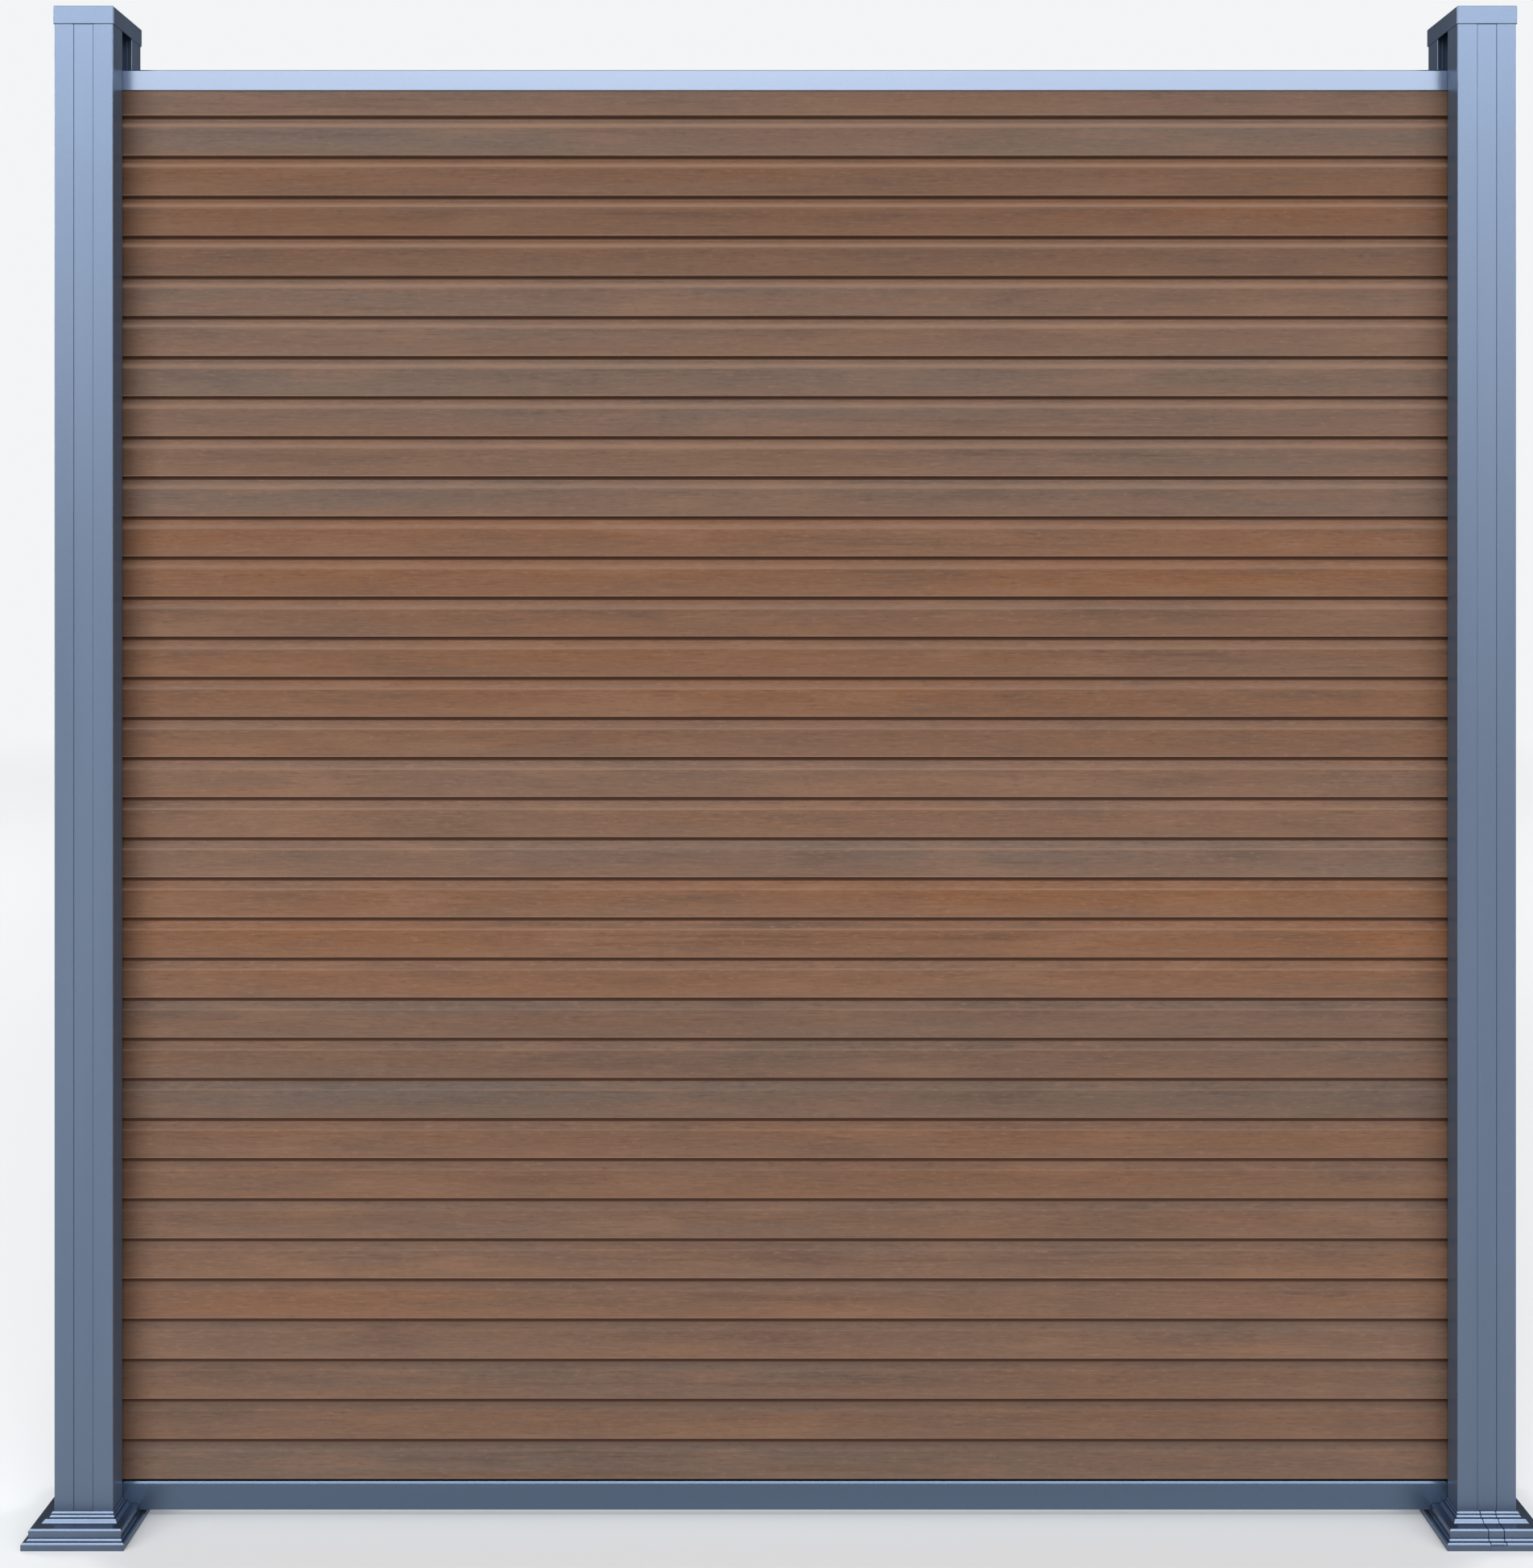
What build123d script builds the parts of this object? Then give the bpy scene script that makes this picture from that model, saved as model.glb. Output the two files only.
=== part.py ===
"""Composite fence panel: boards stacked between two slotted posts.

Millimetres, Z up, X along the fence, front at -Y, origin on the ground midway between the posts.
"""

import os

from build123d import *

# Fence as a whole
clear_width = 1650.0
board_count = 12
top_board_height = 105.0

# Boards
board_cover = 150.0
board_thickness = 20.0
strips_per_board = 3
shadow_height = 5.0
shadow_depth = 5.0
strip_bevel_height = 10.0
lip_radius = 1.0
board_wall = 4.0
back_bevel = 1.0
tongue_width = 5.0
tongue_height = 8.0
tongue_bevel = 1.0
tongue_side_clearance = 0.4
tongue_end_clearance = 1.0
expansion_gap = 3.0

# Posts
post_width = 72.0
post_wall = 2.0
post_corner_radius = 1.5
slot_depth = 15.0
slot_mouth_radius = 0.5
snap_depth = 5.0
snap_width = 2.0
snap_groove_depth = 0.6
post_above_rail = 66.5

# Cover strips
strip_face_thickness = 1.6
strip_leg_thickness = 1.2
strip_leg_depth = 8.0
strip_edge_bevel = 0.4
strip_side_clearance = 0.2
strip_recess = 0.3
snap_bead_height = 0.4

# Post caps
cap_height = 22.0
cap_top_thickness = 2.5
cap_wall = 1.0
cap_clearance = 0.2
cap_edge_bevel = 1.2
cap_corner_radius = 2.0
cap_tongue_width = 16.0
cap_tongue_thickness = 2.0
cap_tongue_length = 12.0
cap_tongue_clearance = 0.3

# Rails
rail_slot_clearance = 0.3
rail_board_clearance = 0.3
rail_wall = 1.4
rail_edge_bevel = 1.8
rail_foot_bevel = 0.5
top_rail_height = 26.0
bottom_rail_height = 34.5
rail_ledge_height = 2.5
rail_ledge_setback = 1.0

# Steel feet
plate_thickness = 6.0
plate_skirt_clearance = 0.8
plate_corner_radius = 8.0
foot_hole_edge = 9.5
foot_hole_radius = 5.5
stub_clearance = 0.4
stub_wall = 3.0
stub_height = 250.0

# Post screws
screw_radius = 2.4
screw_tip_length = 4.6
screw_hole_clearance = 0.2
screw_flange_radius = 5.25
screw_flange_thickness = 1.0
screw_head_across_flats = 8.0
screw_head_height = 4.0
screw_above_skirt = 15.5
screw_below_stub_top = 35.0

# Rail spacers
spacer_height = 7.0
spacer_end_clearance = 0.5
spacer_bevel = 1.0

# Skirts, stepped out from the post and up from the ground
skirt_wall = 2.0
skirt_post_clearance = 0.3
skirt_second_tread = 6.0
skirt_third_tread = 12.0
skirt_base_tread = 6.0
skirt_base_rise = 9.0
skirt_third_rise = 12.4
skirt_second_rise = 3.2
skirt_top_rise = 5.0
skirt_edge_bevel = 1.5
skirt_rail_clearance = 0.5

# Lap joint of the two halves of a skirt
pad_width = 17.5
pad_groove = 1.5
sill_height = 6.5
lip_thickness = 0.9
lap_gap = 0.2
lap_reach = 12.0

# Sizes that follow from those above
strip_pitch = board_cover / strips_per_board
strip_face_height = strip_pitch - shadow_height - strip_bevel_height
board_front = -board_thickness / 2
board_back = board_thickness / 2
shadow_back = board_front + shadow_depth
tongue_centre = (shadow_back + board_back) / 2
groove_depth = tongue_height + tongue_end_clearance
member_length = clear_width + 2 * (slot_depth - expansion_gap)
rail_width = board_thickness + 2 * (rail_board_clearance + rail_wall)
slot_width = rail_width + 2 * rail_slot_clearance
bottom_rail_lift = plate_thickness + spacer_height
rail_ledge_top = bottom_rail_lift + bottom_rail_height + rail_ledge_height
top_board_base = rail_ledge_top + (board_count - 1) * board_cover
top_rail_top = top_board_base + top_board_height + rail_wall
post_base = plate_thickness
post_top = top_rail_top + post_above_rail
post_length = post_top - post_base
post_half = post_width / 2
post_offset = clear_width / 2 + post_half
slot_floor = post_half - slot_depth
core_half = slot_floor - post_wall
stub_half = core_half - stub_clearance
skirt_top_overhang = skirt_post_clearance + skirt_wall
skirt_second_overhang = skirt_top_overhang + skirt_second_tread
skirt_third_overhang = skirt_second_overhang + skirt_third_tread
skirt_base_overhang = skirt_third_overhang + skirt_base_tread
skirt_third_height = skirt_base_rise + skirt_third_rise
skirt_second_height = skirt_third_height + skirt_second_rise
skirt_top_height = skirt_second_height + skirt_top_rise
skirt_hole_width = post_width + 2 * skirt_post_clearance
pad_half = pad_width / 2
plate_width = 2 * (post_half + skirt_third_overhang - skirt_wall - plate_skirt_clearance)
foot_hole_spacing = plate_width - 2 * foot_hole_edge
screw_grip = post_wall + stub_clearance + stub_wall + screw_tip_length
screw_heights = (skirt_top_height + screw_above_skirt, plate_thickness + stub_height - screw_below_stub_top)


def outline_face(points):
    """A filled outline from its corner points."""
    return make_face(Polyline(*points, close=True))


def along_fence(section, length):
    """Extrudes a (depth, height) section along X, centred on the origin."""
    return extrude(Plane.YZ * section, length / 2, both=True)


def centred_box(width, depth, low, high):
    """A box centred on the Z axis between two heights."""
    return Pos(0, 0, (low + high) / 2) * Box(width, depth, high - low)


def board_section():
    """Three lapped strips on the front, a tongue on top, a groove below and one hollow behind each strip."""
    points = []
    for strip in range(strips_per_board):
        low = strip * strip_pitch
        points.append((board_front, low))
        points.append((board_front, low + strip_face_height))
        points.append((shadow_back, low + strip_face_height + strip_bevel_height))
        points.append((shadow_back, low + strip_pitch))
    tongue_front = tongue_centre - tongue_width / 2
    tongue_back = tongue_centre + tongue_width / 2
    tongue_top = board_cover + tongue_height
    points.append((tongue_front, board_cover))
    points.append((tongue_front, tongue_top - tongue_bevel))
    points.append((tongue_front + tongue_bevel, tongue_top))
    points.append((tongue_back - tongue_bevel, tongue_top))
    points.append((tongue_back, tongue_top - tongue_bevel))
    points.append((tongue_back, board_cover))
    points.append((board_back - back_bevel, board_cover))
    points.append((board_back, board_cover - back_bevel))
    points.append((board_back, back_bevel))
    points.append((board_back - back_bevel, 0))
    points.append((tongue_back + tongue_side_clearance, 0))
    points.append((tongue_back + tongue_side_clearance, groove_depth))
    points.append((tongue_front - tongue_side_clearance, groove_depth))
    points.append((tongue_front - tongue_side_clearance, 0))
    section = outline_face(points)
    lip_heights = [strip * strip_pitch for strip in range(strips_per_board)]
    lips = [
        corner
        for corner in section.vertices()
        if abs(corner.X - board_front) < lip_radius / 2
        and min(abs(corner.Y - height) for height in lip_heights) < lip_radius / 2
    ]
    section = fillet(lips, lip_radius)
    for strip in range(strips_per_board):
        section -= board_hollow(strip)
    return section


def board_hollow(strip):
    """The hollow behind one strip, a wall's thickness inside its face and its bevel."""
    low = strip * strip_pitch + board_wall
    if strip == 0:
        low += groove_depth
    knee = strip * strip_pitch + strip_face_height - board_wall / 2
    high = knee + strip_bevel_height
    return outline_face(
        [
            (board_front + board_wall, low),
            (board_front + board_wall, knee),
            (shadow_back + board_wall, high),
            (board_back - board_wall, high),
            (board_back - board_wall, low),
        ]
    )


def board(number):
    """One board in its place, the top one ripped to its height."""
    section = board_section()
    if number == board_count:
        ripped_off = board_cover + tongue_height
        section -= Pos(0, top_board_height + ripped_off / 2) * Rectangle(2 * board_thickness, ripped_off)
    base = rail_ledge_top + (number - 1) * board_cover
    return Pos(0, 0, base) * along_fence(section, member_length)


def top_rail():
    """A channel turned over the ripped edge of the top board."""
    half = rail_width / 2
    inner = half - rail_wall
    low = top_rail_top - top_rail_height
    section = outline_face(
        [
            (-half + rail_foot_bevel, low),
            (-half, low + rail_foot_bevel),
            (-half, top_rail_top - rail_edge_bevel),
            (-half + rail_edge_bevel, top_rail_top),
            (half - rail_edge_bevel, top_rail_top),
            (half, top_rail_top - rail_edge_bevel),
            (half, low + rail_foot_bevel),
            (half - rail_foot_bevel, low),
            (inner, low),
            (inner, top_rail_top - rail_wall),
            (-inner, top_rail_top - rail_wall),
            (-inner, low),
        ]
    )
    return along_fence(section, member_length)


def bottom_rail():
    """A hollow rail with a ledge under the lowest board and a tongue in its groove."""
    half = rail_width / 2
    low = bottom_rail_lift
    high = low + bottom_rail_height
    ledge_front = shadow_back + rail_ledge_setback
    ledge_back = board_back - rail_ledge_setback
    tongue_front = tongue_centre - tongue_width / 2
    tongue_back = tongue_centre + tongue_width / 2
    tongue_top = rail_ledge_top + tongue_height
    section = outline_face(
        [
            (-half + rail_foot_bevel, low),
            (-half, low + rail_foot_bevel),
            (-half, high - rail_edge_bevel),
            (-half + rail_edge_bevel, high),
            (ledge_front, high),
            (ledge_front, rail_ledge_top),
            (tongue_front, rail_ledge_top),
            (tongue_front, tongue_top),
            (tongue_back, tongue_top),
            (tongue_back, rail_ledge_top),
            (ledge_back, rail_ledge_top),
            (ledge_back, high),
            (half - rail_edge_bevel, high),
            (half, high - rail_edge_bevel),
            (half, low + rail_foot_bevel),
            (half - rail_foot_bevel, low),
        ]
    )
    body_width = rail_width - 2 * rail_wall
    body_hollow = Pos(0, (low + high) / 2) * Rectangle(body_width, bottom_rail_height - 2 * rail_wall)
    ledge_width = ledge_back - ledge_front - 2 * rail_wall
    ledge_centre = (ledge_front + ledge_back) / 2
    ledge_hollow = Pos(ledge_centre, high - rail_wall) * Rectangle(ledge_width, 2 * rail_ledge_height)
    return along_fence(section - body_hollow - ledge_hollow, member_length)


def slot_outline():
    """The front slot of a post, with the grooves that the cover strip's beads snap into."""
    slot = Pos(0, -post_half + slot_depth / 2) * Rectangle(slot_width, slot_depth)
    groove = Pos(0, -post_half + snap_depth) * Rectangle(slot_width + 2 * snap_groove_depth, snap_width)
    return slot + groove


def post_section():
    """A square tube folded in at each side into a slot, with one wall thickness all round."""
    outside = RectangleRounded(post_width, post_width, post_corner_radius)
    hollow = Rectangle(post_width - 2 * post_wall, post_width - 2 * post_wall)
    for side in range(4):
        outside -= Rot(0, 0, 90 * side) * slot_outline()
        slot_back = Pos(0, -post_half + (slot_depth + post_wall) / 2) * Rectangle(
            slot_width + 2 * post_wall, slot_depth + post_wall
        )
        hollow -= Rot(0, 0, 90 * side) * slot_back
    mouths = [
        corner
        for corner in outside.vertices()
        if abs(max(abs(corner.X), abs(corner.Y)) - post_half) < slot_mouth_radius / 2
        and abs(min(abs(corner.X), abs(corner.Y)) - slot_width / 2) < slot_mouth_radius / 2
    ]
    return fillet(mouths, slot_mouth_radius) - hollow


def post_screw_bores(radius):
    """Bores through the front and back of a post's core, one at each screw height."""
    bore = Rot(90, 0, 0) * Cylinder(radius, 2 * slot_floor)
    return [Pos(0, 0, height) * bore for height in screw_heights]


def post(centre_x):
    """One post standing on its foot."""
    tube = Pos(0, 0, post_base) * extrude(post_section(), post_length)
    return Pos(centre_x, 0, 0) * (tube - post_screw_bores(screw_radius + screw_hole_clearance))


def cover_strip(centre_x, turn):
    """A snap-in strip that closes one slot of a post, turned from the front to its side."""
    face_front = -post_half + strip_recess
    face_back = face_front + strip_face_thickness
    leg_end = -post_half + strip_leg_depth
    half = slot_width / 2 - strip_side_clearance
    leg_inner = half - strip_leg_thickness
    bead_low = -post_half + snap_depth - snap_width / 4
    bead_high = -post_half + snap_depth + snap_width / 4
    bead = half + snap_bead_height
    right_side = [
        (half - strip_edge_bevel, face_front),
        (half, face_front + strip_edge_bevel),
        (half, bead_low - snap_bead_height),
        (bead, bead_low),
        (bead, bead_high),
        (half, bead_high + snap_bead_height),
        (half, leg_end),
        (leg_inner, leg_end),
        (leg_inner, face_back),
    ]
    left_side = [(-across, depth) for across, depth in reversed(right_side)]
    section = outline_face(right_side + left_side)
    strip = Pos(0, 0, post_base) * extrude(section, post_length)
    return Pos(centre_x, 0, 0) * Rot(0, 0, turn) * strip


def post_cap(centre_x):
    """A flat cap over the post end, located by four tongues inside the core."""
    outer_width = post_width + 2 * (cap_clearance + cap_wall)
    high = post_top + cap_top_thickness
    shell = centred_box(outer_width, outer_width, high - cap_height, high)
    shell = fillet(shell.edges().filter_by(Axis.Z), cap_corner_radius)
    shell = chamfer(shell.faces().sort_by(Axis.Z)[-1].edges(), cap_edge_bevel)
    inner_width = post_width + 2 * cap_clearance
    shell -= centred_box(inner_width, inner_width, high - cap_height, post_top)
    tongue_place = core_half - cap_tongue_clearance - cap_tongue_thickness / 2
    tongue = centred_box(cap_tongue_width, cap_tongue_thickness, post_top - cap_tongue_length, post_top)
    for side in range(4):
        shell += Rot(0, 0, 90 * side) * Pos(0, -tongue_place, 0) * tongue
    return Pos(centre_x, 0, 0) * shell


def foot(centre_x):
    """A bolted plate with a square stub welded to it."""
    plate = extrude(RectangleRounded(plate_width, plate_width, plate_corner_radius), plate_thickness)
    hole = Cylinder(foot_hole_radius, 2 * plate_thickness)
    plate -= GridLocations(foot_hole_spacing, foot_hole_spacing, 2, 2) * hole
    stub_top = plate_thickness + stub_height
    stub_inner = 2 * (stub_half - stub_wall)
    stub = centred_box(2 * stub_half, 2 * stub_half, plate_thickness, stub_top)
    stub -= centred_box(stub_inner, stub_inner, plate_thickness, stub_top)
    stub -= post_screw_bores(screw_radius + screw_hole_clearance / 2)
    return Pos(centre_x, 0, 0) * (plate + stub)


def post_screws(centre_x):
    """Flanged hex screws through the slot floors into the stub, front and back."""
    flange = extrude(Circle(screw_flange_radius), screw_flange_thickness)
    head = extrude(RegularPolygon(screw_head_across_flats / 2, 6, major_radius=False), screw_head_height)
    shank = extrude(Circle(screw_radius), -screw_grip)
    screw = flange + head + shank
    placed = []
    for turn in (0, 180):
        for height in screw_heights:
            seat = Rot(0, 0, turn) * Pos(0, -slot_floor, height) * Rot(90, 0, 0)
            placed.append(Pos(centre_x, 0, 0) * seat * screw)
    return Compound(placed)


def rail_spacer(side):
    """A block in the slot on the foot plate that carries one end of the bottom rail."""
    length = slot_depth - 2 * spacer_end_clearance
    centre_x = side * (clear_width / 2 + slot_depth / 2)
    block = centred_box(length, rail_width, plate_thickness, bottom_rail_lift)
    block = chamfer(block.edges().filter_by(Axis.Z), spacer_bevel)
    return Pos(centre_x, 0, 0) * block


def skirt_form(growth):
    """The solid stepped form of a skirt with its faces moved outwards by a growth."""
    steps = [
        (skirt_base_overhang, skirt_base_rise),
        (skirt_third_overhang, skirt_third_height),
        (skirt_second_overhang, skirt_second_height),
        (skirt_top_overhang, skirt_top_height),
    ]
    right_side = [(post_half + skirt_base_overhang + growth, 0)]
    for place, (overhang, height) in enumerate(steps):
        half = post_half + overhang + growth
        top = height + growth
        right_side.append((half, top - skirt_edge_bevel))
        right_side.append((half - skirt_edge_bevel, top))
        if place + 1 < len(steps):
            next_half = post_half + steps[place + 1][0] + growth
            right_side.append((next_half + skirt_edge_bevel, top))
            right_side.append((next_half, top + skirt_edge_bevel))
    left_side = [(-across, height) for across, height in reversed(right_side)]
    side_view = outline_face(right_side + left_side)
    reach = post_half + skirt_base_overhang + growth
    across_x = extrude(Plane.XZ * side_view, reach, both=True)
    across_y = extrude(Plane.YZ * side_view, reach, both=True)
    return across_x & across_y


def skirt_shell(outer_growth, inner_growth):
    """A wall that follows the stepped form, open below and round the post."""
    opening = centred_box(skirt_hole_width, skirt_hole_width, 0, 2 * skirt_top_height)
    return skirt_form(outer_growth) - skirt_form(inner_growth) - opening


def skirt_band(left, right, low):
    """A slice of the space round a skirt between two widths, from a height upwards."""
    reach = 2 * (post_half + skirt_base_overhang)
    tall = 2 * skirt_top_height
    return Pos((left + right) / 2, 0, low + tall / 2) * Box(right - left, 2 * reach, tall)


def skirt_halves(notch_turn):
    """The half with a thin lip and the half whose padded tongue goes under it, both notched for the rail."""
    reach = 2 * (post_half + skirt_base_overhang)
    wall_start = pad_half + pad_groove
    lip_edge = -wall_start
    tongue_end = lip_edge - lap_reach
    tongue_outside = -lip_thickness - lap_gap
    wall = skirt_shell(0, -skirt_wall)
    rebate = skirt_form(-lip_thickness) & skirt_band(tongue_end - lap_gap, 0, sill_height - lap_gap)
    lipped = (wall & skirt_band(-reach, lip_edge, 0)) - rebate
    tongue = skirt_shell(tongue_outside, -skirt_wall) & skirt_band(tongue_end, wall_start, sill_height)
    pad = skirt_shell(0, tongue_outside) & skirt_band(-pad_half, pad_half, sill_height + pad_groove)
    sill = (wall & skirt_band(lip_edge + lap_gap, wall_start, 0)) - skirt_band(-reach, reach, sill_height)
    tongued = (wall & skirt_band(wall_start, reach, 0)) + sill + tongue + pad
    notch_floor = bottom_rail_lift - skirt_rail_clearance
    notch_half = rail_width / 2 + skirt_rail_clearance
    notch = Rot(0, 0, notch_turn) * Pos(0, -reach, 0) * skirt_band(-notch_half, notch_half, notch_floor)
    return lipped - notch, tongued - notch


def skirt_places():
    """Both skirts by half: the left one parts front and back, the right one along the fence."""
    left_lipped, left_tongued = skirt_halves(notch_turn=180)
    right_lipped, right_tongued = skirt_halves(notch_turn=-90)
    left = Pos(-post_offset, 0, 0) * Rot(0, 0, -90)
    right = Pos(post_offset, 0, 0)
    return {
        "left_skirt_back_half": left * left_lipped,
        "left_skirt_front_half": left * left_tongued,
        "right_skirt_inner_half": right * right_lipped,
        "right_skirt_outer_half": right * right_tongued,
    }


def all_pieces():
    """Every piece by its node name."""
    pieces = {"top_rail": top_rail(), "bottom_rail": bottom_rail()}
    for number in range(1, board_count + 1):
        pieces[f"board_{number:02d}"] = board(number)
    for name, side in (("left", -1), ("right", 1)):
        centre_x = side * post_offset
        pieces[f"{name}_post"] = post(centre_x)
        pieces[f"{name}_front_cover_strip"] = cover_strip(centre_x, 0)
        pieces[f"{name}_back_cover_strip"] = cover_strip(centre_x, 180)
        pieces[f"{name}_outer_cover_strip"] = cover_strip(centre_x, side * 90)
        pieces[f"{name}_post_cap"] = post_cap(centre_x)
        pieces[f"{name}_foot"] = foot(centre_x)
        pieces[f"{name}_post_screws"] = post_screws(centre_x)
        pieces[f"{name}_rail_spacer"] = rail_spacer(side)
    pieces.update(skirt_places())
    return pieces


os.makedirs("parts", exist_ok=True)
for node, piece in all_pieces().items():
    export_step(piece, f"parts/{node}.step")
    print(node)
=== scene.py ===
import math
import bmesh
import bpy
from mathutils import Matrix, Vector

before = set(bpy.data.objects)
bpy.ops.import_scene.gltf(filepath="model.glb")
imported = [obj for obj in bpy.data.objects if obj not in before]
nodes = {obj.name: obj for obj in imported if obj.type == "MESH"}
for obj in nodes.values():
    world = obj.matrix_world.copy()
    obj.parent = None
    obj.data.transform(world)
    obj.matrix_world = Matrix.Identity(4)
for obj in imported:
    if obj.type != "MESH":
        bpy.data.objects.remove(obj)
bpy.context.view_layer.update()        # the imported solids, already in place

print("fence panel loaded:", len(nodes), "solids")


# helpers for the shader trees: a socket given as an input is linked, anything else is set
def addNode(tree, kind, inputs=None, **settings):
    node = tree.nodes.new(kind)
    for name, value in settings.items():
        setattr(node, name, value)
    for name, value in (inputs or {}).items():
        if isinstance(value, bpy.types.NodeSocket):
            tree.links.new(value, node.inputs[name])
        else:
            node.inputs[name].default_value = value
    return node


def doMath(tree, operation, first, second=0.0, third=0.0, clamp=False):
    inputs = {0: first, 1: second, 2: third}
    return addNode(tree, "ShaderNodeMath", inputs, operation=operation, use_clamp=clamp).outputs[0]


def swing(tree, noise, amount, middle, clamp=False):     # noise around one half, added to a middle value
    return doMath(tree, "MULTIPLY_ADD", doMath(tree, "SUBTRACT", noise, 0.5), amount, middle, clamp)


def rampUp(tree, value, low, high, toLow=0.0, toHigh=1.0):
    inputs = {"Value": value, "From Min": low, "From Max": high, "To Min": toLow, "To Max": toHigh}
    return addNode(tree, "ShaderNodeMapRange", inputs, interpolation_type="SMOOTHSTEP").outputs["Result"]


def mixColours(tree, factor, first, second, clamp=True):
    inputs = {0: factor, 6: first, 7: second}
    return addNode(tree, "ShaderNodeMix", inputs, data_type="RGBA", clamp_factor=clamp).outputs[2]


def streaks(tree, place, perMetre, offset, detail=3.0, roughness=0.55):
    moved = addNode(tree, "ShaderNodeMapping", {"Vector": place, "Scale": perMetre, "Location": offset})
    inputs = {"Vector": moved.outputs[0], "Scale": 1.0, "Detail": detail, "Roughness": roughness}
    return addNode(tree, "ShaderNodeTexNoise", inputs).outputs["Fac"]


def bump(tree, height, distance, strength):
    inputs = {"Height": height, "Distance": distance, "Strength": strength}
    return addNode(tree, "ShaderNodeBump", inputs).outputs[0]


def newFinish(name):
    finish = bpy.data.materials.new(name)
    finish.use_nodes = True
    tree = finish.node_tree
    shader = tree.nodes["Principled BSDF"]
    place = addNode(tree, "ShaderNodeTexCoord").outputs["Object"]
    return finish, tree, shader, place


def dress(node, finish):
    for slot in nodes[node].material_slots:
        slot.material = finish


def fromScreen(red, green, blue):        # screen tones of 0 to 255, made linear
    tones = [channel / 255 for channel in (red, green, blue)]
    linear = [tone / 12.92 if tone < 0.04045 else ((tone + 0.055) / 1.055) ** 2.4 for tone in tones]
    return (*linear, 1.0)


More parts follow.
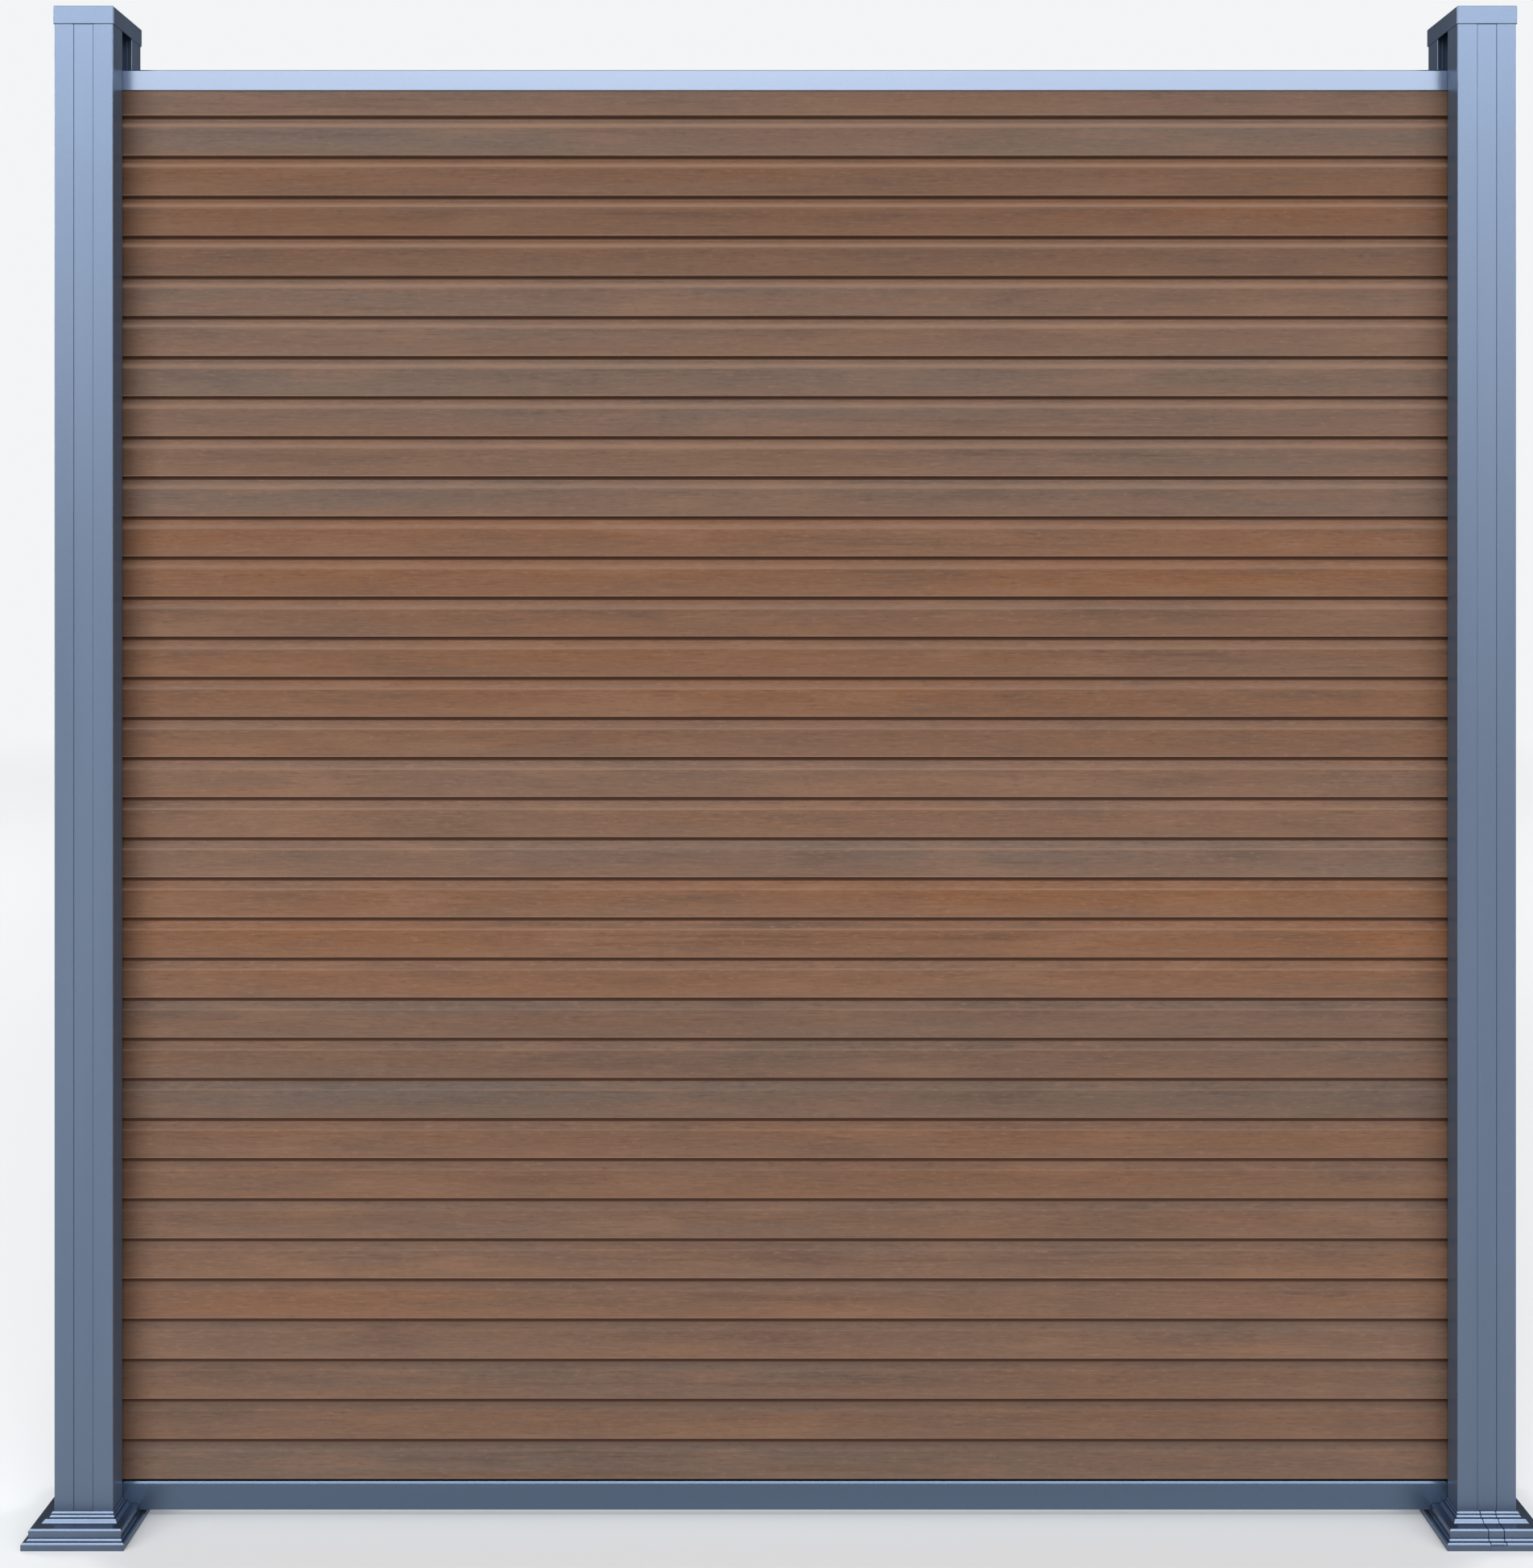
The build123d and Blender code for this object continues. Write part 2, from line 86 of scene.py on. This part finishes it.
# wood-plastic boards, brushed, with streaked brown and grey colour
boardLook = {
    "warmBrown": fromScreen(100, 67, 45),
    "greyBrown": fromScreen(91, 71, 59),
    "darkStreak": fromScreen(62, 45, 35),
    "paleStreakAndPaintedLight": fromScreen(119, 90, 71),
    "warmth": {"board_01": 0.16, "board_02": 0.34, "board_03": 0.46, "board_04": 0.10, "board_05": 0.94,
               "board_06": 0.28, "board_07": 0.90, "board_08": 1.05, "board_09": 0.14, "board_10": 0.20,
               "board_11": 1.15, "board_12": 0.16},
    "tone": {"board_01": 1.11, "board_02": 1.17, "board_03": 1.09, "board_04": 1.02, "board_05": 1.13,
             "board_06": 1.12, "board_07": 1.03, "board_08": 1.01, "board_09": 1.00, "board_10": 0.99,
             "board_11": 0.81, "board_12": 0.92},
    "stripWarmth": (-0.24, 0.16, 0.05),      # lowest strip of a board first
    "stripsPerBoard": 3,
    "stripPitch": 0.05,                      # height of one lapped strip
    "firstLip": 0.05,                        # height of the lowest lip
    "frontPlane": -0.002,                    # the faces with strips lie in front of this
    "facePlane": -0.0098,                    # the shadow gaps lie behind this
    # each noise: repeats to the metre along, through and up the board, and its shift through and up;
    # warms is its share in the brown, pale and dark are where its streaks start, are full, and how strong
    "noiseShift": 3.7,                       # moves every noise from board to board
    "drift": {"perMetre": (1.1, 9.0, 13.0), "offset": (0.0, 0.0), "detail": 2.0, "roughness": 0.55,
              "warms": 1.7},
    "band": {"perMetre": (3.2, 40.0, 120.0), "offset": (1.0, 2.0), "detail": 3.0, "roughness": 0.55,
             "warms": 1.0},
    "patch": {"perMetre": (6.0, 25.0, 42.0), "offset": (4.0, 8.0), "detail": 3.0, "roughness": 0.55,
              "warms": 0.8, "pale": (0.52, 0.72, 0.34), "dark": (0.48, 0.28, 0.34)},
    "dash": {"perMetre": (22.0, 120.0, 460.0), "offset": (2.0, 4.0), "detail": 4.0, "roughness": 0.62,
             "pale": (0.50, 0.80, 0.50), "dark": (0.46, 0.22, 0.54)},
    "fleck": {"perMetre": (78.0, 200.0, 290.0), "offset": (5.0, 9.0), "detail": 3.0, "roughness": 0.6,
              "pale": (0.54, 0.74, 0.50), "dark": (0.46, 0.27, 0.44)},
    "brush": {"perMetre": (42.0, 700.0, 1900.0), "offset": (3.0, 6.0), "detail": 2.0, "roughness": 0.6,
              "pale": (0.46, 0.75, 0.34), "dark": (0.44, 0.22, 0.34)},
    "shadowDrift": (0.52, 0.30),             # dark streaks where the drift is low and the band high
    "shadowBand": (0.50, 0.72),
    "shadowMost": 0.55,
    "paintedLipLightHeight": 0.028,                  # painted light: each face is painted paler towards its lip
    "paintedLipLightMost": 0.24,
    "paintedPostShade": fromScreen(60, 37, 22),     # painted shade on the boards' ends close to the left post
    "paintedPostShadeFrom": (-0.788, -0.826),
    "paintedPostShadeMost": 0.55,
    "shoulder": 0.035,                       # height of a bevel's lower edge over the lip
    "shoulderHalf": 0.0018,
    "bevelPaintedShade": fromScreen(66, 48, 37),     # painted shade and painted reflection: the bevels are painted darker low down and paler the higher they sit
    "bevelPaintedShadeFrom": (0.70, 0.05),
    "bevelPaintedShadeMost": 0.60,
    "bevelPaintedSheen": fromScreen(138, 110, 92),
    "bevelPaintedSheenFrom": (0.50, 1.90),
    "bevelPaintedSheenMost": 0.44,
    "bevelFadeFrom": (0.0446, 0.0362),       # from the gap above a bevel down to its shoulder
    "bevelPaintedShadeFade": (1.25, 0.45),
    "bevelPaintedSheenFade": (0.30, 1.60),
    "lipHighlightAndWear": fromScreen(138, 110, 91),     # painted highlight, partly edge wear, on the lower lip and shoulder of each strip
    "lipFrom": (0.0016, 0.00064),
    "shoulderHighlightFrom": (0.0018, 0.00054),       # distance from the shoulder
    "shoulderHighlightRiseFrom": (0.15, 0.90),        # the shoulder's painted highlight fades out low down
    "shoulderHighlightMost": 0.55,
    "rubbedFrom": (0.25, 0.60),              # the band noise breaks the painted highlight lines up
    "rubbed": (0.18, 0.62),
    "paintedGapShade": fromScreen(58, 34, 21),        # painted shade in the shadow gap
    "paintedGapShadeFrom": (0.0444, 0.0456),          # height over the lip where the gap starts and is full
    "paintedGapShadeRiseFrom": (0.0, 1.8),
    "paintedGapShadeRise": (-0.0012, 0.0012),         # how far the dark starts above that, low down and high up
    "paintedGapShadeMost": 0.92,
    "roughness": 0.52,
    "roughnessSwing": 0.22,
    "gapRoughness": 0.35,
    "reliefDash": 0.7,                       # share of the dashes in the relief, next to the brush lines
    "reliefDepth": 0.00025,
    "reliefStrength": 0.55,
    "shine": 0.26,
}


def makeBoardFinish(name, look, number):
    finish, tree, shader, place = newFinish("brushedComposite_" + name)
    toned = ("warmBrown", "greyBrown", "darkStreak", "paleStreakAndPaintedLight", "lipHighlightAndWear", "bevelPaintedShade")
    tones = {key: (*(channel * look["tone"][name] for channel in look[key][:3]), 1.0) for key in toned}
    split = addNode(tree, "ShaderNodeSeparateXYZ", {0: place})
    along, through, height = (split.outputs[axis] for axis in "XYZ")
    shift = look["noiseShift"] * number

    def both(first, second):
        return doMath(tree, "MULTIPLY", first, second)

    def grain(layer, up=0.0):
        values = look[layer]
        deep, high = values["offset"]
        offset = (shift, deep, high + up)
        return streaks(tree, place, values["perMetre"], offset, values["detail"], values["roughness"])

    def streaked(colour, noise, layer):
        for key, tone in (("pale", "paleStreakAndPaintedLight"), ("dark", "darkStreak")):
            start, full, most = look[layer][key]
            colour = mixColours(tree, rampUp(tree, noise, start, full, 0.0, most), colour, tones[tone])
        return colour

    # only the front has strips, and which strip it is sets how brown it is
    overFirst = doMath(tree, "SUBTRACT", height, look["firstLip"])
    inStrips = doMath(tree, "DIVIDE", overFirst, look["stripPitch"])
    overLip = both(doMath(tree, "FRACT", inStrips), look["stripPitch"])
    strip = doMath(tree, "FLOORED_MODULO", doMath(tree, "FLOOR", inStrips), float(look["stripsPerBoard"]))
    front = doMath(tree, "LESS_THAN", through, look["frontPlane"])
    lowStrip = both(doMath(tree, "LESS_THAN", strip, 0.5), front)
    highStrip = both(doMath(tree, "GREATER_THAN", strip, 1.5), front)
    low, middle, high = look["stripWarmth"]
    warmth = doMath(tree, "MULTIPLY_ADD", lowStrip, low - middle, look["warmth"][name] + middle)
    warmth = doMath(tree, "MULTIPLY_ADD", highStrip, high - middle, warmth)

    # slow drift along the board, long bands and patches, then short dashes, flecks and brush lines
    drift, band, patch = grain("drift", shift), grain("band"), grain("patch")
    dash, fleck, brush = grain("dash"), grain("fleck"), grain("brush")
    for noise, layer in ((drift, "drift"), (band, "band"), (patch, "patch")):
        warmth = swing(tree, noise, look[layer]["warms"], warmth)
    colour = mixColours(tree, warmth, tones["greyBrown"], tones["warmBrown"], clamp=False)
    colour = streaked(colour, patch, "patch")
    shadow = both(rampUp(tree, drift, *look["shadowDrift"]), rampUp(tree, band, *look["shadowBand"]))
    colour = mixColours(tree, both(shadow, look["shadowMost"]), colour, tones["darkStreak"])
    for noise, layer in ((dash, "dash"), (fleck, "fleck"), (brush, "brush")):
        colour = streaked(colour, noise, layer)

    # painted light, paler towards the lip; painted shade, browner beside the left post, where the post
    # shades the boards' ends
    brushed = rampUp(tree, overLip, look["paintedLipLightHeight"], 0.0, 0.0, look["paintedLipLightMost"])
    colour = mixColours(tree, both(brushed, front), colour, tones["paleStreakAndPaintedLight"])
    # painted shade where the left post shades the boards' ends
    paintedPostShade = rampUp(tree, along, *look["paintedPostShadeFrom"], 0.0, look["paintedPostShadeMost"])
    colour = mixColours(tree, paintedPostShade, colour, look["paintedPostShade"])

    # painted light on the bevels: painted shade low down and painted reflection high up, each fading between
    # its gap and its shoulder
    bevel = rampUp(tree, overLip, look["shoulder"], look["shoulder"] + look["shoulderHalf"])
    bevel = both(bevel, front)
    for key, tone in (("bevelPaintedShade", tones["bevelPaintedShade"]), ("bevelPaintedSheen", look["bevelPaintedSheen"])):
        amount = rampUp(tree, height, *look[key + "From"], 0.0, look[key + "Most"])
        amount = both(amount, rampUp(tree, overLip, *look["bevelFadeFrom"], *look[key + "Fade"]))
        colour = mixColours(tree, both(bevel, amount), colour, tone)

    # painted highlights, partly edge wear, along the lip and shoulder of each strip
    lip = rampUp(tree, overLip, *look["lipFrom"])
    fromShoulder = doMath(tree, "ABSOLUTE", doMath(tree, "SUBTRACT", overLip, look["shoulder"]))
    shoulder = rampUp(tree, fromShoulder, *look["shoulderHighlightFrom"])
    shoulder = both(shoulder, rampUp(tree, height, *look["shoulderHighlightRiseFrom"], 0.0, look["shoulderHighlightMost"]))
    rubbed = both(doMath(tree, "MAXIMUM", lip, shoulder), front)
    rubbed = both(rubbed, rampUp(tree, band, *look["rubbedFrom"], *look["rubbed"]))
    colour = mixColours(tree, rubbed, colour, tones["lipHighlightAndWear"])

    # painted shade: the shadow gap is painted dark, and made dull
    rise = rampUp(tree, height, *look["paintedGapShadeRiseFrom"], *look["paintedGapShadeRise"])
    inside = both(doMath(tree, "GREATER_THAN", through, look["facePlane"]), front)
    gap = both(rampUp(tree, doMath(tree, "SUBTRACT", overLip, rise), *look["paintedGapShadeFrom"]), inside)
    colour = mixColours(tree, both(gap, look["paintedGapShadeMost"]), colour, look["paintedGapShade"])
    tree.links.new(colour, shader.inputs["Base Color"])

    rough = swing(tree, dash, look["roughnessSwing"], look["roughness"])
    rough = doMath(tree, "MULTIPLY_ADD", gap, look["gapRoughness"], rough)
    tree.links.new(rough, shader.inputs["Roughness"])
    relief = doMath(tree, "MULTIPLY_ADD", dash, look["reliefDash"], brush)
    tree.links.new(bump(tree, relief, look["reliefDepth"], look["reliefStrength"]), shader.inputs["Normal"])
    shader.inputs["Specular IOR Level"].default_value = look["shine"]
    return finish


for number, name in enumerate(sorted(boardLook["warmth"]), 1):
    dress(name, makeBoardFinish(name, boardLook, number))
print("boards brushed and coloured:", len(boardLook["warmth"]))


# satin blue-grey coat on the aluminium, its clouding drawn out along each extrusion
coatLook = {
    "post": {"colour": fromScreen(105, 119, 140), "deep": fromScreen(100, 114, 135), "roughness": 0.38,
             "cloud": (9.0, 9.0, 0.7),
             "innerFrom": (0.8262, 0.8254),      # the faces towards the boards, from the fence's middle
             "innerBelow": (1.80, 1.79),         # up to the top rail
             "innerDrop": 0.25},
    "topRail": {"colour": fromScreen(122, 133, 151), "deep": fromScreen(117, 128, 146), "roughness": 0.30,
                "cloud": (0.7, 9.0, 9.0)},
    "bottomRail": {"colour": fromScreen(96, 112, 133), "deep": fromScreen(91, 107, 128), "roughness": 0.40,
                   "cloud": (0.7, 9.0, 9.0),
                   "rubbedFrom": (0.0453, 0.0458), "rubbed": 0.15},      # smoother along its upper edge
    "cloudOffset": (0.4, 1.2, 2.3),
    "peel": 900.0,               # powder-coat texture, lumps to the metre
    "peelOffset": (5.0, 0.0, 1.0),
    "peelShare": 0.5,            # of the lumps in the colour
    "peelDepth": 0.00006,
    "peelStrength": 0.35,
    "colourFrom": (0.3, 0.7),
    "roughnessSwing": 0.10,
    "metallic": 0.92,
}


def makeCoat(name, look, shared):
    finish, tree, shader, place = newFinish("satinCoat_" + name)
    cloud = streaks(tree, place, look["cloud"], shared["cloudOffset"])
    peel = streaks(tree, place, (shared["peel"],) * 3, shared["peelOffset"], detail=1.0)
    tone = rampUp(tree, swing(tree, peel, shared["peelShare"], cloud, clamp=True), *shared["colourFrom"])
    tree.links.new(mixColours(tree, tone, look["deep"], look["colour"]), shader.inputs["Base Color"])
    rough = swing(tree, cloud, shared["roughnessSwing"], look["roughness"])
    if "rubbedFrom" in look:     # draws a sharper light line along that edge
        height = addNode(tree, "ShaderNodeSeparateXYZ", {0: place}).outputs["Z"]
        rubbed = rampUp(tree, height, *look["rubbedFrom"], 0.0, look["rubbed"])
        rough = doMath(tree, "SUBTRACT", rough, rubbed)
    tree.links.new(rough, shader.inputs["Roughness"])
    tree.links.new(bump(tree, peel, shared["peelDepth"], shared["peelStrength"]), shader.inputs["Normal"])
    shader.inputs["Metallic"].default_value = shared["metallic"]
    if "innerFrom" in look:      # those faces are less metallic, and catch more of the light in front
        split = addNode(tree, "ShaderNodeSeparateXYZ", {0: place})
        across = doMath(tree, "ABSOLUTE", split.outputs["X"])
        inner = rampUp(tree, across, *look["innerFrom"], 0.0, look["innerDrop"])
        inner = doMath(tree, "MULTIPLY", inner, rampUp(tree, split.outputs["Z"], *look["innerBelow"]))
        tree.links.new(doMath(tree, "SUBTRACT", shared["metallic"], inner), shader.inputs["Metallic"])
    return finish


postCoat =makeCoat("post", coatLook["post"], coatLook)
for side in ("left", "right"):
    for part in ("post", "front_cover_strip", "back_cover_strip", "outer_cover_strip", "post_cap"):
        dress(side + "_" + part, postCoat)
dress("top_rail", makeCoat("topRail", coatLook["topRail"], coatLook))
dress("bottom_rail", makeCoat("bottomRail", coatLook["bottomRail"], coatLook))
print("posts, caps, strips and rails coated")


# moulded skirts
skirtLook = {
    "halves": ("left_skirt_front_half", "left_skirt_back_half",
               "right_skirt_inner_half", "right_skirt_outer_half"),
    "colour": fromScreen(99, 112, 132),
    "deep": fromScreen(94, 107, 126),
    "colourFrom": (0.3, 0.7),
    "flow": (22.0, 22.0, 60.0),
    "flowOffset": (1.0, 2.0, 3.0),
    "roughness": 0.20,
    "roughnessSwing": 0.12,
    "metallic": 0.85,
    "grain": 1400.0,
    "grainOffset": (0.0, 4.0, 2.0),
    "grainDepth": 0.000003,
    "grainStrength": 0.3,
}


def makeSkirtFinish(look):
    finish, tree, shader, place = newFinish("mouldedSkirt")
    flow = streaks(tree, place, look["flow"], look["flowOffset"])
    grain = streaks(tree, place, (look["grain"],) * 3, look["grainOffset"], detail=2.0)
    tone = rampUp(tree, flow, *look["colourFrom"])
    tree.links.new(mixColours(tree, tone, look["deep"], look["colour"]), shader.inputs["Base Color"])
    rough = swing(tree, flow, look["roughnessSwing"], look["roughness"])
    tree.links.new(rough, shader.inputs["Roughness"])
    tree.links.new(bump(tree, grain, look["grainDepth"], look["grainStrength"]), shader.inputs["Normal"])
    shader.inputs["Metallic"].default_value = look["metallic"]
    return finish


skirtFinish = makeSkirtFinish(skirtLook)
for half in skirtLook["halves"]:
    dress(half, skirtFinish)


# galvanised feet and screws
zincLook = {
    "pale": (0.62, 0.64, 0.66, 1.0),
    "dull": (0.40, 0.42, 0.44, 1.0),
    "spangle": 90.0,
    "roughness": 0.42,
    "roughnessSwing": 0.16,
}


def makeZinc(look):
    finish, tree, shader, place = newFinish("galvanisedSteel")
    moved = addNode(tree, "ShaderNodeMapping", {"Vector": place, "Scale": (look["spangle"],) * 3})
    spangle = addNode(tree, "ShaderNodeTexVoronoi", {"Vector": moved.outputs[0], "Scale": 1.0})
    shade = addNode(tree, "ShaderNodeSeparateColor", {0: spangle.outputs["Color"]}).outputs[0]
    tree.links.new(mixColours(tree, shade, look["dull"], look["pale"]), shader.inputs["Base Color"])
    rough = doMath(tree, "MULTIPLY_ADD", shade, look["roughnessSwing"], look["roughness"])
    tree.links.new(rough, shader.inputs["Roughness"])
    shader.inputs["Metallic"].default_value = 1.0
    return finish


# black spacers under the bottom rail
spacerLook = {
    "black": (0.016, 0.016, 0.018, 1.0),
    "worn": (0.032, 0.032, 0.034, 1.0),
    "mottle": 260.0,
    "mottleOffset": (2.0, 1.0, 0.0),
    "roughness": 0.45,
    "roughnessSwing": 0.2,
}


def makeSpacerFinish(look):
    finish, tree, shader, place = newFinish("blackNylon")
    mottle = streaks(tree, place, (look["mottle"],) * 3, look["mottleOffset"])
    tree.links.new(mixColours(tree, mottle, look["black"], look["worn"]), shader.inputs["Base Color"])
    rough = doMath(tree, "MULTIPLY_ADD", mottle, look["roughnessSwing"], look["roughness"])
    tree.links.new(rough, shader.inputs["Roughness"])
    return finish


zinc = makeZinc(zincLook)
nylon = makeSpacerFinish(spacerLook)
for side in ("left", "right"):
    dress(side + "_foot", zinc)
    dress(side + "_post_screws", zinc)
    dress(side + "_rail_spacer", nylon)
print("skirts, feet, screws and spacers finished")


# pale floor, which turns into the backdrop far off
backdrop = (0.90, 0.91, 0.92, 1.0)
floorLook = {
    "halfSize": 40.0,
    "pale": (0.87, 0.88, 0.885, 1.0),
    "shade": (0.84, 0.85, 0.855, 1.0),
    "cloud": 0.8,
    "roughness": 0.7,
    "backdropFrom": (3.0, 9.0),
    "black": (0.0, 0.0, 0.0, 1.0),
}


def makeFloor(look):
    mesh = bpy.data.meshes.new("studioFloor")
    shape = bmesh.new()
    bmesh.ops.create_grid(shape, x_segments=1, y_segments=1, size=look["halfSize"])
    shape.to_mesh(mesh)
    shape.free()
    floor = bpy.data.objects.new("studioFloor", mesh)
    bpy.context.scene.collection.objects.link(floor)
    finish, tree, shader, place = newFinish("paleFloor")
    cloud = streaks(tree, place, (look["cloud"],) * 3, (0.0, 0.0, 0.0), detail=2.0)
    colour = mixColours(tree, cloud, look["shade"], look["pale"])
    away = addNode(tree, "ShaderNodeVectorMath", {0: place}, operation="LENGTH").outputs["Value"]
    far = rampUp(tree, away, *look["backdropFrom"])
    tree.links.new(mixColours(tree, far, colour, look["black"]), shader.inputs["Base Color"])
    tree.links.new(far, shader.inputs["Emission Strength"])
    shader.inputs["Emission Color"].default_value = backdrop
    shader.inputs["Specular IOR Level"].default_value = 0.0
    shader.inputs["Roughness"].default_value = look["roughness"]
    mesh.materials.append(finish)
    return floor


makeFloor(floorLook)
print("floor laid")


# soft studio dome, brightest in front, dim behind and overhead
domeLook = {
    "front": (2.50, 2.51, 2.54, 1.0),
    "rearLow": (0.12, 0.12, 0.13, 1.0),
    "overhead": (0.36, 0.37, 0.38, 1.0),
    "frontFrom": (-0.15, 0.75),      # how far round the front glow reaches
    "glowFrom": (-0.05, 0.24),       # sine of the height where the glow starts and is full
    "overheadFrom": (0.45, 0.80),
}


def makeDome(look):
    dome = bpy.data.worlds.new("softDome")
    bpy.context.scene.world = dome
    dome.use_nodes = True
    tree = dome.node_tree
    place = addNode(tree, "ShaderNodeTexCoord").outputs["Generated"]
    split = addNode(tree, "ShaderNodeSeparateXYZ", {0: place})
    ahead = doMath(tree, "MULTIPLY", split.outputs["Y"], -1.0)
    height = split.outputs["Z"]
    glow = rampUp(tree, ahead, *look["frontFrom"])
    glow = doMath(tree, "MULTIPLY", glow, rampUp(tree, height, *look["glowFrom"]))
    colour = mixColours(tree, glow, look["rearLow"], look["front"])
    colour = mixColours(tree, rampUp(tree, height, *look["overheadFrom"]), colour, look["overhead"])
    seen = addNode(tree, "ShaderNodeLightPath").outputs["Is Camera Ray"]
    tree.links.new(mixColours(tree, seen, colour, backdrop), tree.nodes["Background"].inputs["Color"])


makeDome(domeLook)


# softboxes: long narrow ones draw the light lines along bevels and edges, the rear pair lights the back
lampLook = {
    "highFront": {"place": (0.0, -2.35, 3.2), "aim": (0.0, -0.05, 0.03), "size": (6.4, 0.40), "watts": 44.0},
    "overCaps": {"place": (0.0, 0.75, 3.7), "aim": (0.0, -0.05, 1.87), "size": (4.2, 0.5), "watts": 12.0},
    "rearLeft": {"place": (-6.2, 3.0, 4.0), "aim": (0.0, 0.0, 0.9), "size": (1.6, 2.2), "watts": 150.0},
    "rearRight": {"place": (6.2, 3.0, 4.0), "aim": (0.0, 0.0, 0.9), "size": (1.6, 2.2), "watts": 150.0},
    "leftSide": {"place": (-4.4, -2.4, 1.5), "aim": (0.8, 0.0, 1.0), "size": (0.5, 3.2), "watts": 52.0},
    "rightSide": {"place": (4.4, -2.4, 1.5), "aim": (-0.8, 0.0, 1.0), "size": (0.5, 3.2), "watts": 26.0},
}


def makeLamps(look):
    for name, values in look.items():
        lamp = bpy.data.lights.new(name, "AREA")
        lamp.shape = "RECTANGLE"
        lamp.size, lamp.size_y = values["size"]
        lamp.energy = values["watts"]
        softbox = bpy.data.objects.new(name, lamp)
        softbox.visible_camera = False
        softbox.location = values["place"]
        aim = Vector(values["aim"]) - Vector(values["place"])
        softbox.rotation_euler = aim.to_track_quat("-Z", "Y").to_euler()
        bpy.context.scene.collection.objects.link(softbox)


makeLamps(lampLook)
print("dome and softboxes lit:", len(lampLook))


# level camera at the photo's viewpoint, shifted down to its framing
cameraLook = {
    "imageSize": (1904, 1947),
    "focalPixels": 1616.0,
    "horizonRow": 695.0,             # pixels from the top
    "place": (-0.023, -1.632, 1.196),
    "sensor": 36.0,
    "clip": (0.05, 100.0),
}


def makeCamera(look):
    wide, tall = look["imageSize"]
    longSide = max(wide, tall)
    lens = bpy.data.cameras.new("photoCamera")
    lens.sensor_fit = "AUTO"
    lens.sensor_width = look["sensor"]
    lens.lens = look["focalPixels"] / longSide * look["sensor"]
    lens.shift_y = (look["horizonRow"] - tall / 2) / longSide
    lens.clip_start, lens.clip_end = look["clip"]
    camera = bpy.data.objects.new("photoCamera", lens)
    camera.location = look["place"]
    camera.rotation_euler = (math.radians(90), 0.0, 0.0)
    bpy.context.scene.collection.objects.link(camera)
    bpy.context.scene.camera = camera


makeCamera(cameraLook)
bpy.context.scene.view_settings.view_transform = "Standard"
print("camera set")
